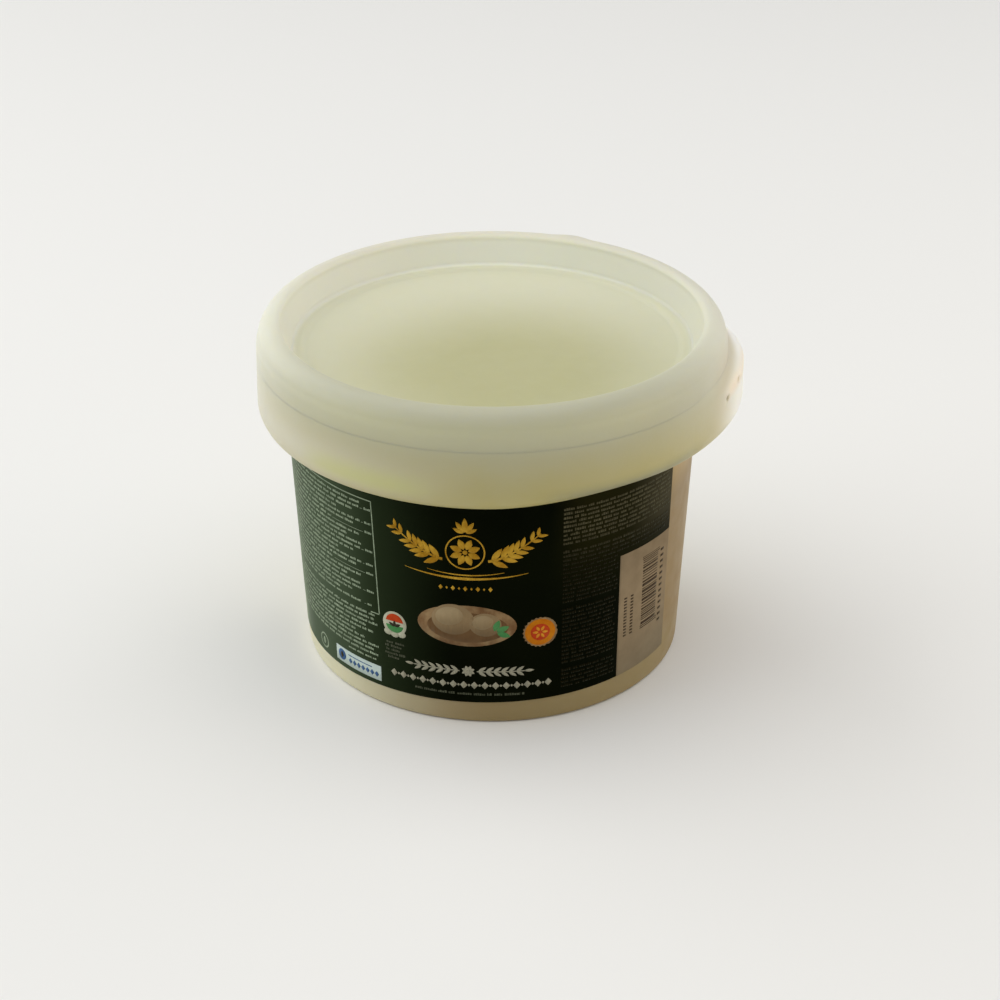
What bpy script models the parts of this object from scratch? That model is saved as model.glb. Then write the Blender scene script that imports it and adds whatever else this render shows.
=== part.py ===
"""A closed round cheese tub with its snap lid, seal band with a tear tab, and wrap label.

Metres, +Z up. The origin is the centre of the base, the front is -Y and the tear tab is at +X.
"""

import math

import bmesh
import bpy

MM = 0.001
GAP = 0.3 * MM
TURN_STEPS = 90

# Tub: a tapered wall on a flat base, with a rim that the lid snaps over
BASE_RADIUS = 55.16 * MM
WALL_SLOPE = 0.0457
HEEL_RADIUS = 1.2 * MM
FOOT_GROOVE_RADIUS = 45.0 * MM
FOOT_GROOVE_WIDTH = 4.0 * MM
FOOT_GROOVE_DEPTH = 0.6 * MM
RIM_BOTTOM_Z = 89.4 * MM

# Seal band: a thin skirt round the rim that hangs from the lid's edge and curls in at its own lower edge
BAND_TOP_Z = 91.9 * MM
BAND_TOP_RADIUS = 66.3 * MM
BAND_TOP_THICKNESS = 1.2 * MM
BAND_RADIUS = 66.9 * MM
BAND_THICKNESS = 1.4 * MM
BAND_EDGE_CUT = 0.4 * MM
CURL_Z = 78.0 * MM
CURL_RADIUS = 5.6 * MM
CURL_ANGLE = math.radians(68)

# The band's lower edge rises a little at the front right, before the tab
LIP_RISE = 1.5 * MM
LIP_RISE_AZIMUTH = math.radians(31)
LIP_RISE_HALF_WIDTH = math.radians(34)
LIP_RISE_TOP_Z = 82.0 * MM
LIP_RISE_FULL_Z = 75.0 * MM

# Tear tab: the band swells outward at the right, with two slots through its wall under the ledge
TAB_AZIMUTH = math.radians(98)
TAB_HALF_WIDTH = math.radians(46)
TAB_DEPTH = 5.2 * MM
TAB_SHELF_Z = 87.6 * MM
SLOT_PLACES = ((math.radians(79), 86.6 * MM), (math.radians(71.2), 84.9 * MM))
SLOT_SIZE = (5.0 * MM, 2.0 * MM, 1.8 * MM)

# Lid: rounded bead, sloping recess wall, flat ring and a slightly lower panel
LID_TOP_Z = 101.3 * MM
LID_EDGE_Z = BAND_TOP_Z + GAP
LID_THICKNESS = 1.3 * MM
LID_EDGE_RADIUS = 66.5 * MM
BEAD_CREST_RADIUS = 61.0 * MM
BEAD_SIDE_Z = 94.0 * MM
BEAD_WIDTH = 5.4 * MM
BEAD_HEIGHT = LID_TOP_Z - BEAD_SIDE_Z
CREST_INNER_WIDTH = 1.8 * MM
CREST_INNER_HEIGHT = 1.7 * MM
RECESS_FOOT_RADIUS = 56.9 * MM
RECESS_FILLET = 1.0 * MM
RING_Z = 92.5 * MM
PANEL_RADIUS = 52.0 * MM
PANEL_STEP = 0.5 * MM

# Nib: a small rise of the bead at the back right
NIB_AZIMUTH = math.radians(157)
NIB_HALF_WIDTH = math.radians(7)
NIB_HEIGHT = 1.3 * MM

# Label: a printed film round the front of the wall
LABEL_BOTTOM_Z = 6.4 * MM
LABEL_BOTTOM_RISE = 1.75 * MM
LABEL_RISE_START = math.radians(-46)
LABEL_TOP_Z = 71.5 * MM
LABEL_LEFT = math.radians(-90)
LABEL_RIGHT = math.radians(58.3)
LABEL_THICKNESS = 0.3 * MM
LABEL_COLUMNS = 36
LABEL_ROWS = 4


def clear_scene():
    for obj in list(bpy.data.objects):
        bpy.data.objects.remove(obj, do_unlink=True)


def material(name, color, roughness):
    """One plain plastic or paper finish."""
    made = bpy.data.materials.new(name)
    made.use_nodes = True
    shader = made.node_tree.nodes["Principled BSDF"]
    shader.inputs["Base Color"].default_value = (*color, 1.0)
    shader.inputs["Roughness"].default_value = roughness
    shader.inputs["Metallic"].default_value = 0.0
    return made


def wall_radius(z):
    return BASE_RADIUS + WALL_SLOPE * z


def recess_radius(z):
    """Radius of the recess wall's inner face, a straight slope from its foot to the bead's crest."""
    foot_z = RING_Z + RECESS_FILLET
    top_z = LID_TOP_Z - CREST_INNER_HEIGHT
    top_radius = BEAD_CREST_RADIUS - CREST_INNER_WIDTH
    return RECESS_FOOT_RADIUS + (top_radius - RECESS_FOOT_RADIUS) * (z - foot_z) / (top_z - foot_z)


def arc(center, radii, start, end, steps):
    """Points of an elliptical arc in the (radius, z) plane, both ends included."""
    points = []
    for i in range(steps + 1):
        angle = start + (end - start) * i / steps
        points.append((center[0] + radii[0] * math.cos(angle), center[1] + radii[1] * math.sin(angle)))
    return points


def bead_arc(inset, steps, reverse=False):
    """The bead's outer quarter, from its side up to its crest, moved inward by inset."""
    radii = (BEAD_WIDTH - inset, BEAD_HEIGHT - inset)
    points = arc((BEAD_CREST_RADIUS, BEAD_SIDE_Z), radii, 0.0, math.pi / 2, steps)
    return points[::-1] if reverse else points


def under_lid(drop):
    """The hidden side of the panel, ring and recess wall, from the axis outward, at a distance of drop."""
    foot_z = RING_Z + RECESS_FILLET
    crest_z = LID_TOP_Z - drop
    shoulder_z = crest_z - 0.8 * MM
    return [
        (0.0, RING_Z - PANEL_STEP - drop),
        (PANEL_RADIUS, RING_Z - PANEL_STEP - drop),
        (PANEL_RADIUS + PANEL_STEP, RING_Z - drop),
        (RECESS_FOOT_RADIUS, RING_Z - drop),
        (recess_radius(foot_z) + drop, foot_z - 0.4 * MM),
        (recess_radius(shoulder_z) + drop, shoulder_z),
    ]


def turned(name, profile, color_material, ring=False):
    """A solid turned round the Z axis from (radius, z) points.

    They start and end on the axis, unless they close on themselves as a ring.
    """
    mesh = bmesh.new()
    verts = [mesh.verts.new((radius, 0.0, z)) for radius, z in profile]
    ends = verts[1:] + verts[:1] if ring else verts[1:]
    edges = [mesh.edges.new(pair) for pair in zip(verts, ends)]
    bmesh.ops.spin(mesh, geom=verts + edges, axis=(0, 0, 1), cent=(0, 0, 0), angle=2 * math.pi,
                   steps=TURN_STEPS, use_merge=True)
    bmesh.ops.remove_doubles(mesh, verts=mesh.verts, dist=0.001 * MM)
    bmesh.ops.recalc_face_normals(mesh, faces=mesh.faces)
    return finished(name, mesh, color_material)


def finished(name, mesh, color_material):
    data = bpy.data.meshes.new(name)
    mesh.to_mesh(data)
    mesh.free()
    data.materials.append(color_material)
    data.shade_smooth()
    data.set_sharp_from_angle(angle=math.radians(35))
    obj = bpy.data.objects.new(name, data)
    bpy.context.scene.collection.objects.link(obj)
    return obj


def azimuth(x, y):
    """Angle round the axis: 0 at the front, growing toward +X."""
    return math.atan2(x, -y)


def swell(angle, center, half_width):
    """A smooth bump from 0 to 1 and back across twice the half width."""
    share = (angle - center) / half_width
    return math.cos(share * math.pi / 2) ** 2 if abs(share) < 1 else 0.0


def push_out(vert, amount):
    reach = math.hypot(vert.co.x, vert.co.y)
    vert.co.x *= (reach + amount) / reach
    vert.co.y *= (reach + amount) / reach


def tub_profile():
    groove_in = FOOT_GROOVE_RADIUS - FOOT_GROOVE_WIDTH / 2
    groove_out = FOOT_GROOVE_RADIUS + FOOT_GROOVE_WIDTH / 2
    foot = [
        (0.0, 0.0),
        (groove_in, 0.0),
        (groove_in + FOOT_GROOVE_DEPTH, FOOT_GROOVE_DEPTH),
        (groove_out - FOOT_GROOVE_DEPTH, FOOT_GROOVE_DEPTH),
        (groove_out, 0.0),
    ]
    heel_center = (BASE_RADIUS - HEEL_RADIUS, HEEL_RADIUS)
    heel = arc(heel_center, (HEEL_RADIUS, HEEL_RADIUS), -math.pi / 2, 0.0, 3)
    inset = LID_THICKNESS + GAP
    rim_foot = [
        (wall_radius(RIM_BOTTOM_Z), RIM_BOTTOM_Z),
        (BEAD_CREST_RADIUS + BEAD_WIDTH - inset, RIM_BOTTOM_Z),
    ]
    return foot + heel + rim_foot + bead_arc(inset, 3) + under_lid(inset)[::-1]


def band_profile():
    curl_center = (BAND_RADIUS - CURL_RADIUS, CURL_Z)
    inner = CURL_RADIUS - BAND_THICKNESS
    inside_radius = BAND_TOP_RADIUS - BAND_TOP_THICKNESS
    top = [
        (inside_radius, TAB_SHELF_Z),
        (inside_radius, BAND_TOP_Z),
        (BAND_TOP_RADIUS - BAND_EDGE_CUT, BAND_TOP_Z),
        (BAND_TOP_RADIUS, BAND_TOP_Z - BAND_EDGE_CUT),
        (BAND_TOP_RADIUS + 0.4 * (BAND_RADIUS - BAND_TOP_RADIUS), TAB_SHELF_Z),
    ]
    curl_outside = arc(curl_center, (CURL_RADIUS, CURL_RADIUS), 0.0, -CURL_ANGLE, 5)
    curl_inside = arc(curl_center, (inner, inner), -CURL_ANGLE, 0.0, 3)
    return top + curl_outside + curl_inside


def make_band(color_material):
    """The ring, pushed out at the tab by a share that fades to nothing at its top edge.

    Its lower edge is lifted by a share that fades to nothing above the curl.
    """
    band = turned("seal_band", band_profile(), color_material, ring=True)
    fade_end = BAND_TOP_Z - BAND_EDGE_CUT
    for vert in band.data.vertices:
        share = min(1.0, max(0.0, (fade_end - vert.co.z) / (fade_end - TAB_SHELF_Z)))
        around = azimuth(vert.co.x, vert.co.y)
        push_out(vert, TAB_DEPTH * share * swell(around, TAB_AZIMUTH, TAB_HALF_WIDTH))
        low_share = (LIP_RISE_TOP_Z - vert.co.z) / (LIP_RISE_TOP_Z - LIP_RISE_FULL_Z)
        low_share = min(1.0, max(0.0, low_share))
        vert.co.z += LIP_RISE * low_share * swell(around, LIP_RISE_AZIMUTH, LIP_RISE_HALF_WIDTH)
    for index, (angle, height) in enumerate(SLOT_PLACES):
        cut_slot(band, angle, height, index)
    return band


def cut_slot(band, angle, height, index):
    """One slot through the tab's wall, cut by a small box that stands across it."""
    reach = BAND_RADIUS + TAB_DEPTH * swell(angle, TAB_AZIMUTH, TAB_HALF_WIDTH) - BAND_THICKNESS / 2
    mesh = bmesh.new()
    bmesh.ops.create_cube(mesh, size=1.0)
    bmesh.ops.scale(mesh, vec=SLOT_SIZE, verts=mesh.verts)
    cutter = finished(f"slot_cutter_{index}", mesh, band.data.materials[0])
    cutter.location = (reach * math.sin(angle), -reach * math.cos(angle), height)
    cutter.rotation_euler.z = angle - math.pi / 2
    cutter.hide_render = True
    cutter.display_type = "WIRE"
    cut = band.modifiers.new(f"slot_{index}", "BOOLEAN")
    cut.operation = "DIFFERENCE"
    cut.object = cutter


def lid_profile():
    fillet_center = (RECESS_FOOT_RADIUS - RECESS_FILLET, RING_Z + RECESS_FILLET)
    fillet = arc(fillet_center, (RECESS_FILLET, RECESS_FILLET), -math.pi / 2, 0.0, 3)
    crest_center = (BEAD_CREST_RADIUS, LID_TOP_Z - CREST_INNER_HEIGHT)
    crest = arc(crest_center, (CREST_INNER_WIDTH, CREST_INNER_HEIGHT), math.pi, math.pi / 2, 4)[:-1]
    panel = [
        (0.0, RING_Z - PANEL_STEP),
        (PANEL_RADIUS, RING_Z - PANEL_STEP),
        (PANEL_RADIUS + PANEL_STEP, RING_Z),
    ]
    edge = [
        (LID_EDGE_RADIUS, LID_EDGE_Z + 0.4 * MM),
        (LID_EDGE_RADIUS - 0.2 * MM, LID_EDGE_Z),
        (BEAD_CREST_RADIUS + BEAD_WIDTH - LID_THICKNESS, LID_EDGE_Z),
    ]
    hidden = bead_arc(LID_THICKNESS, 3) + under_lid(LID_THICKNESS)[::-1]
    return panel + fillet + crest + bead_arc(0.0, 8, reverse=True) + edge + hidden


def make_lid(color_material):
    lid = turned("lid", lid_profile(), color_material)
    side_radius = BEAD_CREST_RADIUS + 0.2 * BEAD_WIDTH
    for vert in lid.data.vertices:
        reach = math.hypot(vert.co.x, vert.co.y)
        height = (vert.co.z - BEAD_SIDE_Z) / BEAD_HEIGHT
        bead_width = (BEAD_WIDTH - LID_THICKNESS / 2) * math.sqrt(max(0.0, 1 - height**2))
        on_bead = height > 0.5 and reach > max(side_radius, BEAD_CREST_RADIUS + bead_width)
        if on_bead:
            bump = swell(azimuth(vert.co.x, vert.co.y), NIB_AZIMUTH, NIB_HALF_WIDTH)
            push_out(vert, NIB_HEIGHT * bump)
    return lid


def make_label(color_material):
    """A thin film on the cone of the wall, as wide round the wall at its bottom edge as at its top.

    Its bottom edge climbs a little toward the right end.
    """
    mesh = bmesh.new()
    top_radius = wall_radius(LABEL_TOP_Z)
    rows = []
    for row in range(LABEL_ROWS + 1):
        verts = []
        for column in range(LABEL_COLUMNS + 1):
            angle = LABEL_LEFT + (LABEL_RIGHT - LABEL_LEFT) * column / LABEL_COLUMNS
            climb = max(0.0, (angle - LABEL_RISE_START) / (LABEL_RIGHT - LABEL_RISE_START))
            bottom = LABEL_BOTTOM_Z + LABEL_BOTTOM_RISE * climb
            z = bottom + (LABEL_TOP_Z - bottom) * row / LABEL_ROWS
            radius = wall_radius(z)
            angle *= top_radius / radius
            reach = radius + GAP
            verts.append(mesh.verts.new((reach * math.sin(angle), -reach * math.cos(angle), z)))
        rows.append(verts)
    for low, high in zip(rows, rows[1:]):
        for i in range(LABEL_COLUMNS):
            mesh.faces.new((low[i], low[i + 1], high[i + 1], high[i]))
    label = finished("label", mesh, color_material)
    film = label.modifiers.new("film", "SOLIDIFY")
    film.thickness = LABEL_THICKNESS
    film.offset = 1.0
    return label


def main():
    clear_scene()
    turned("tub", tub_profile(), material("cream_plastic", (0.66, 0.63, 0.46), 0.38))
    make_band(material("band_plastic", (0.68, 0.65, 0.49), 0.38))
    make_lid(material("lid_plastic", (0.72, 0.71, 0.58), 0.34))
    make_label(material("dark_label", (0.012, 0.02, 0.008), 0.45))


main()
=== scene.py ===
import math
import random

import bmesh
import bpy
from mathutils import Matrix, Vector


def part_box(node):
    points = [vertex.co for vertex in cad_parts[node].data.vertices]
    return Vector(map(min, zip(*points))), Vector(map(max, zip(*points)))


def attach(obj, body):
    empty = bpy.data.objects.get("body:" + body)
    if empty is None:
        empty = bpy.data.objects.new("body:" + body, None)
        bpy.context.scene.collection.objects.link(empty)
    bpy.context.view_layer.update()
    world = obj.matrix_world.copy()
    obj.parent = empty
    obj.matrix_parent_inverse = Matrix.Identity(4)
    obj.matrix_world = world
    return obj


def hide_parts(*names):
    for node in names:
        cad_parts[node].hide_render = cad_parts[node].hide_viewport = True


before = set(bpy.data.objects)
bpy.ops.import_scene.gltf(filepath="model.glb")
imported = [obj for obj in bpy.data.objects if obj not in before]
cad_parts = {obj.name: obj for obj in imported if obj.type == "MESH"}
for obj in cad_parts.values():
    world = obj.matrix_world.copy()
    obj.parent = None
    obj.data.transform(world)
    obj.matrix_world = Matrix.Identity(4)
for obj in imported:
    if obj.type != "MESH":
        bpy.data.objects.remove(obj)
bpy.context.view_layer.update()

mm = 0.001
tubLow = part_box("tub")[0]
lidLow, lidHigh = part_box("lid")
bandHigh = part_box("seal_band")[1]
labelLow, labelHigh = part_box("label")


# camera first, at the photograph's viewing angle
cameraSet = {
    "lens": 79.28,
    "sensor": 36.0,
    "place": (0.0, -0.5693, 0.3497),
    "turn": (61.55, 0.0, -0.222),  # degrees
}


def placeObject(name, data):
    made = bpy.data.objects.new(name, data)
    bpy.context.scene.collection.objects.link(made)
    return made


def makeCamera(settings):
    data = bpy.data.cameras.new("shotCamera")
    data.lens = settings["lens"]
    data.sensor_width = settings["sensor"]
    shot = placeObject("shotCamera", data)
    shot.location = settings["place"]
    shot.rotation_euler = [math.radians(turn) for turn in settings["turn"]]
    bpy.context.scene.camera = shot


makeCamera(cameraSet)
print("camera set")


# shapes that are turned round the tub's axis

def arcPoints(centre, radii, start, end, steps):
    points = []
    for i in range(steps + 1):
        angle = start + (end - start) * i / steps
        points.append((centre[0] + radii[0] * math.cos(angle), centre[1] + radii[1] * math.sin(angle)))
    return points


def linePoints(start, end, steps):
    # points from start up to, but not including, end
    points = []
    for i in range(steps):
        share = i / steps
        points.append((start[0] + (end[0] - start[0]) * share, start[1] + (end[1] - start[1]) * share))
    return points


def turnProfile(name, profile, steps, ring=False):
    mesh = bmesh.new()
    verts = [mesh.verts.new((radius, 0.0, z)) for radius, z in profile]
    ends = verts[1:] + verts[:1] if ring else verts[1:]
    edges = [mesh.edges.new(pair) for pair in zip(verts, ends)]
    bmesh.ops.spin(mesh, geom=verts + edges, axis=(0, 0, 1), cent=(0, 0, 0),
                   angle=2 * math.pi, steps=steps, use_merge=True)
    bmesh.ops.remove_doubles(mesh, verts=mesh.verts, dist=0.001 * mm)
    bmesh.ops.recalc_face_normals(mesh, faces=mesh.faces)
    return keepMesh(name, mesh)


def keepMesh(name, mesh, sharpAngle=40.0):
    data = bpy.data.meshes.new(name)
    mesh.to_mesh(data)
    mesh.free()
    data.shade_smooth()
    data.set_sharp_from_angle(angle=math.radians(sharpAngle))
    return placeObject(name, data)


def azimuthOf(x, y):
    # 0 at the front, growing toward the tear tab at +X
    return math.atan2(x, -y)


def swell(angle, centre, halfWidth):
    share = (angle - centre) / halfWidth
    return math.cos(share * math.pi / 2) ** 2 if abs(share) < 1 else 0.0


def pushOut(vert, amount):
    reach = math.hypot(vert.co.x, vert.co.y)
    vert.co.x *= (reach + amount) / reach
    vert.co.y *= (reach + amount) / reach


# node helpers for the finishes

def addNode(tree, kind, inputs=None, **settings):
    made = tree.nodes.new(kind)
    for key, value in settings.items():
        setattr(made, key, value)
    for key, value in (inputs or {}).items():
        if isinstance(value, bpy.types.NodeSocket):
            tree.links.new(value, made.inputs[key])
        else:
            made.inputs[key].default_value = value
    return made


def startMaterial(name):
    made = bpy.data.materials.new(name)
    made.use_nodes = True
    tree = made.node_tree
    shader = tree.nodes["Principled BSDF"]
    place = addNode(tree, "ShaderNodeTexCoord").outputs["Object"]
    return made, tree, shader, place


def noiseAt(tree, place, scale, detail=3.0, stretch=None):
    spot = place
    if stretch:
        spot = addNode(tree, "ShaderNodeMapping", {"Vector": place, "Scale": stretch}).outputs["Vector"]
    noise = addNode(tree, "ShaderNodeTexNoise", {"Vector": spot, "Scale": scale, "Detail": detail})
    return noise.outputs["Fac"]


def rangeOf(tree, value, low, high, newLow=0.0, newHigh=1.0, smooth=False):
    kind = "SMOOTHSTEP" if smooth else "LINEAR"
    inputs = {"Value": value, "From Min": low, "From Max": high, "To Min": newLow, "To Max": newHigh}
    return addNode(tree, "ShaderNodeMapRange", inputs, interpolation_type=kind).outputs["Result"]


def noiseRange(tree, place, scale, newLow, newHigh, detail=3.0, stretch=None, spread=(0.3, 0.7)):
    # a noise goes little beyond its spread, which is stretched to the new range
    return rangeOf(tree, noiseAt(tree, place, scale, detail, stretch), *spread, newLow, newHigh)


def mathOf(tree, operation, first, second):
    return addNode(tree, "ShaderNodeMath", {0: first, 1: second}, operation=operation).outputs["Value"]


def mixColour(tree, share, first, second):
    made = addNode(tree, "ShaderNodeMix", data_type="RGBA")
    for index, value in ((0, share), (6, first), (7, second)):
        if isinstance(value, bpy.types.NodeSocket):
            tree.links.new(value, made.inputs[index])
        else:
            made.inputs[index].default_value = value if index == 0 else (*value, 1.0)
    return made.outputs[2]


def radiusAt(tree, place):
    flat = addNode(tree, "ShaderNodeVectorMath", {0: place, 1: (1.0, 1.0, 0.0)}, operation="MULTIPLY")
    reach = addNode(tree, "ShaderNodeVectorMath", {0: flat.outputs["Vector"]}, operation="LENGTH")
    return reach.outputs["Value"]


def heightAt(tree, place):
    return addNode(tree, "ShaderNodeSeparateXYZ", {"Vector": place}).outputs["Z"]


def addBump(tree, shader, height, distance):
    bump = addNode(tree, "ShaderNodeBump", {"Height": height, "Distance": distance})
    tree.links.new(bump.outputs["Normal"], shader.inputs["Normal"])


plasticLook = {
    "roughness": (0.40, 0.52),
    "wear": 180.0,         # patches of more and less gloss
    "ior": 1.5,
    "mottle": 45.0,        # colour patches, about 2 cm across
    "mottleRange": (0.85, 1.1),
    "grain": 900.0,        # fine moulded grain
    "grainDepth": 0.00002,
    "ripple": 70.0,        # slow waves of the moulded wall
    "rippleDepth": 0.00012,
    "subsurface": 0.5,
    "subsurfaceRadius": (1.0, 0.85, 0.5),
    "subsurfaceScale": 0.003,
    "pale": (0.77, 0.765, 0.64),
    # darker copies of the pale and deep colours for the front are painted shade
    "palePaintedFrontShade": (0.49, 0.49, 0.37),
    "deep": (0.67, 0.64, 0.50),
    "deepPaintedFrontShade": (0.465, 0.41, 0.160),
    "deepHeights": (0.074, 0.1005),
    "front": (-90.0, -0.010, 0.058),    # painted shade on the front: heading in degrees, then the reach over which it fades in
    # painted light on the bead's front; painted shade on the side by the tab, at the back, and at the back
    # right
    "patches": (
        ((-92.0, 0.030, 0.062), (0.0875, 0.0965, 0.1012), 0.55, (0.61, 0.60, 0.375)),
        ((0.0, 0.0580, 0.0655), (0.0700, 0.0930, 0.1005), 0.6, (0.585, 0.505, 0.355)),
        ((90.0, 0.0, 0.050), (0.0900, 0.1000, 0.1100), 0.6, (0.66, 0.625, 0.530)),
        ((30.0, 0.040, 0.062), (0.0880, 0.0990, 0.1090), 0.7, (0.62, 0.615, 0.52)),
    ),
}


def towardShare(tree, place, heading, low, high):
    # how far a point lies toward a heading, counted from +X
    turn = math.radians(heading)
    aim = (math.cos(turn), math.sin(turn), 0.0)
    reach = addNode(tree, "ShaderNodeVectorMath", {0: place, 1: aim}, operation="DOT_PRODUCT")
    return rangeOf(tree, reach.outputs["Value"], low, high, smooth=True)


def addPatches(tree, place, colour, patches):
    # soft spots of another colour: heading and reach, three heights, strength, colour
    for side, (low, middle, high), strength, spot in patches:
        height = heightAt(tree, place)
        rise = rangeOf(tree, height, low, middle, smooth=True)
        fall = rangeOf(tree, height, middle, high, strength, 0.0, smooth=True)
        share = mathOf(tree, "MULTIPLY", rise, fall)
        share = mathOf(tree, "MULTIPLY", towardShare(tree, place, *side), share)
        colour = mixColour(tree, share, colour, spot)
    return colour


def outsideColour(tree, place):
    # pale at the lid's crest and deeper toward the band's lower edge, with painted shade toward the front,
    # faint random mottle, and spots of painted light and shade
    look = plasticLook
    front = towardShare(tree, place, *look["front"])
    low, high = look["deepHeights"]
    depth = rangeOf(tree, heightAt(tree, place), low, high, 1.0, 0.0, smooth=True)
    patches = noiseRange(tree, place, look["mottle"], *look["mottleRange"])
    pale = mixColour(tree, front, look["pale"], look["palePaintedFrontShade"])
    deep = mixColour(tree, front, look["deep"], look["deepPaintedFrontShade"])
    colour = mixColour(tree, mathOf(tree, "MULTIPLY", depth, patches), pale, deep)
    return addPatches(tree, place, colour, look["patches"])


def finishPlastic(tree, shader, place, colour):
    look = plasticLook
    tree.links.new(colour, shader.inputs["Base Color"])
    wear = noiseRange(tree, place, look["wear"], *look["roughness"], detail=4.0)
    tree.links.new(wear, shader.inputs["Roughness"])
    shader.inputs["Subsurface Weight"].default_value = look["subsurface"]
    shader.inputs["Subsurface Radius"].default_value = look["subsurfaceRadius"]
    shader.inputs["Subsurface Scale"].default_value = look["subsurfaceScale"]
    shader.inputs["IOR"].default_value = look["ior"]
    grain = noiseAt(tree, place, look["grain"], detail=2.0)
    ripple = noiseAt(tree, place, look["ripple"], detail=1.0)
    share = look["rippleDepth"] / look["grainDepth"]
    height = mathOf(tree, "ADD", grain, mathOf(tree, "MULTIPLY", ripple, share))
    addBump(tree, shader, height, look["grainDepth"])


# lid measures; the tub's rim fills the space under the lid, so they come first

lidShape = {
    "thickness": 1.3 * mm,
    "edgeRadius": 66.5 * mm,
    "edgeCorner": 0.08 * mm,
    "edgeFlat": 0.6 * mm,
    "crestRadius": 61.0 * mm,
    "beadSideZ": 94.0 * mm,
    "beadWidth": 5.4 * mm,
    "crestInner": (1.8 * mm, 1.7 * mm),
    "footRadius": 56.9 * mm,
    "fillet": 1.0 * mm,
    "ringZ": 92.5 * mm,
    "panelRadius": 52.0 * mm,
    "panelStep": 0.5 * mm,
    "rampWidth": 2.4 * mm,
    "tierZ": 96.6 * mm,        # shallow groove between the bead and its side
    "tierHalf": 1.0 * mm,
    "tierDepth": 0.14 * mm,
    "nibAzimuth": math.radians(157),
    "nibHalfWidth": math.radians(7),
    "nibHeight": 1.3 * mm,
    "nibInset": 1.0 * mm,      # least distance outside the crest
    "nibHeights": (0.4, 0.6),  # shares of the bead's height over which the nib grows
    "hiddenDrops": (0.8 * mm, 0.4 * mm),    # of the underside, at the shoulder and at the recess foot
    "pointGap": 0.2 * mm,      # keeps a round and the flat beside it apart
    "turnSteps": 300,
}


def beadArc(inset, steps):
    # the bead's outer quarter from its side up to its crest, moved inward
    height = lidHigh.z - lidShape["beadSideZ"] - inset
    centre = (lidShape["crestRadius"], lidShape["beadSideZ"])
    return arcPoints(centre, (lidShape["beadWidth"] - inset, height), 0.0, math.pi / 2, steps)


def recessRadius(z):
    footZ = lidShape["ringZ"] + lidShape["fillet"]
    topZ = lidHigh.z - lidShape["crestInner"][1]
    topRadius = lidShape["crestRadius"] - lidShape["crestInner"][0]
    return lidShape["footRadius"] + (topRadius - lidShape["footRadius"]) * (z - footZ) / (topZ - footZ)


def underLid(drop):
    # the hidden side, from the bead in to the axis
    footZ = lidShape["ringZ"] + lidShape["fillet"]
    shoulderDrop, footDrop = lidShape["hiddenDrops"]
    shoulderZ = lidHigh.z - drop - shoulderDrop
    panelZ = lidShape["ringZ"] - lidShape["panelStep"]
    return [
        (recessRadius(shoulderZ) + drop, shoulderZ),
        (recessRadius(footZ) + drop, footZ - footDrop),
        (lidShape["footRadius"], lidShape["ringZ"] - drop),
        (lidShape["panelRadius"] + lidShape["panelStep"], lidShape["ringZ"] - drop),
        (lidShape["panelRadius"], panelZ - drop),
        (0.0, panelZ - drop),
    ]


# tub: tapered wall on a flat base, with the rim that the lid snaps over

tubShape = {
    "wallSlope": 0.0457,
    "baseRadius": 55.16 * mm,
    "heelRadius": 1.2 * mm,
    "wallFootZ": 1.8 * mm,
    "grooveRadius": 45.0 * mm,
    "grooveWidth": 4.0 * mm,
    "grooveDepth": 0.6 * mm,
    "rimBottom": 89.4 * mm,
    "rimInset": 1.6 * mm,
    "turnSteps": 240,
    "mottleRange": (0.96, 1.0),
    "pale": (0.68, 0.655, 0.455),
    # painted shade: the wall turns dark brown toward the front right
    "deep": (0.250, 0.157, 0.044),
    # painted light: lifts the painted shade on the upper wall at the right, under the band
    "patches": (
        ((-20.0, 0.050, 0.0575), (0.0560, 0.0730, 0.0900), 0.75, (0.58, 0.415, 0.165)),
    ),
    "paintedShadeSide": (-50.0, -0.010, 0.052),    # painted shade toward the front right: heading in degrees, then the reach over which it fades in
    # painted shade on the wall's foot at the front right
    "foot": (0.300, 0.228, 0.094),
    "paintedShadeFootSide": (-58.0, 0.032, 0.0558),
    "paintedShadeFootHeights": (0.008, 0.018),
}


def wallRadius(z):
    return tubShape["baseRadius"] + tubShape["wallSlope"] * z


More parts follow.
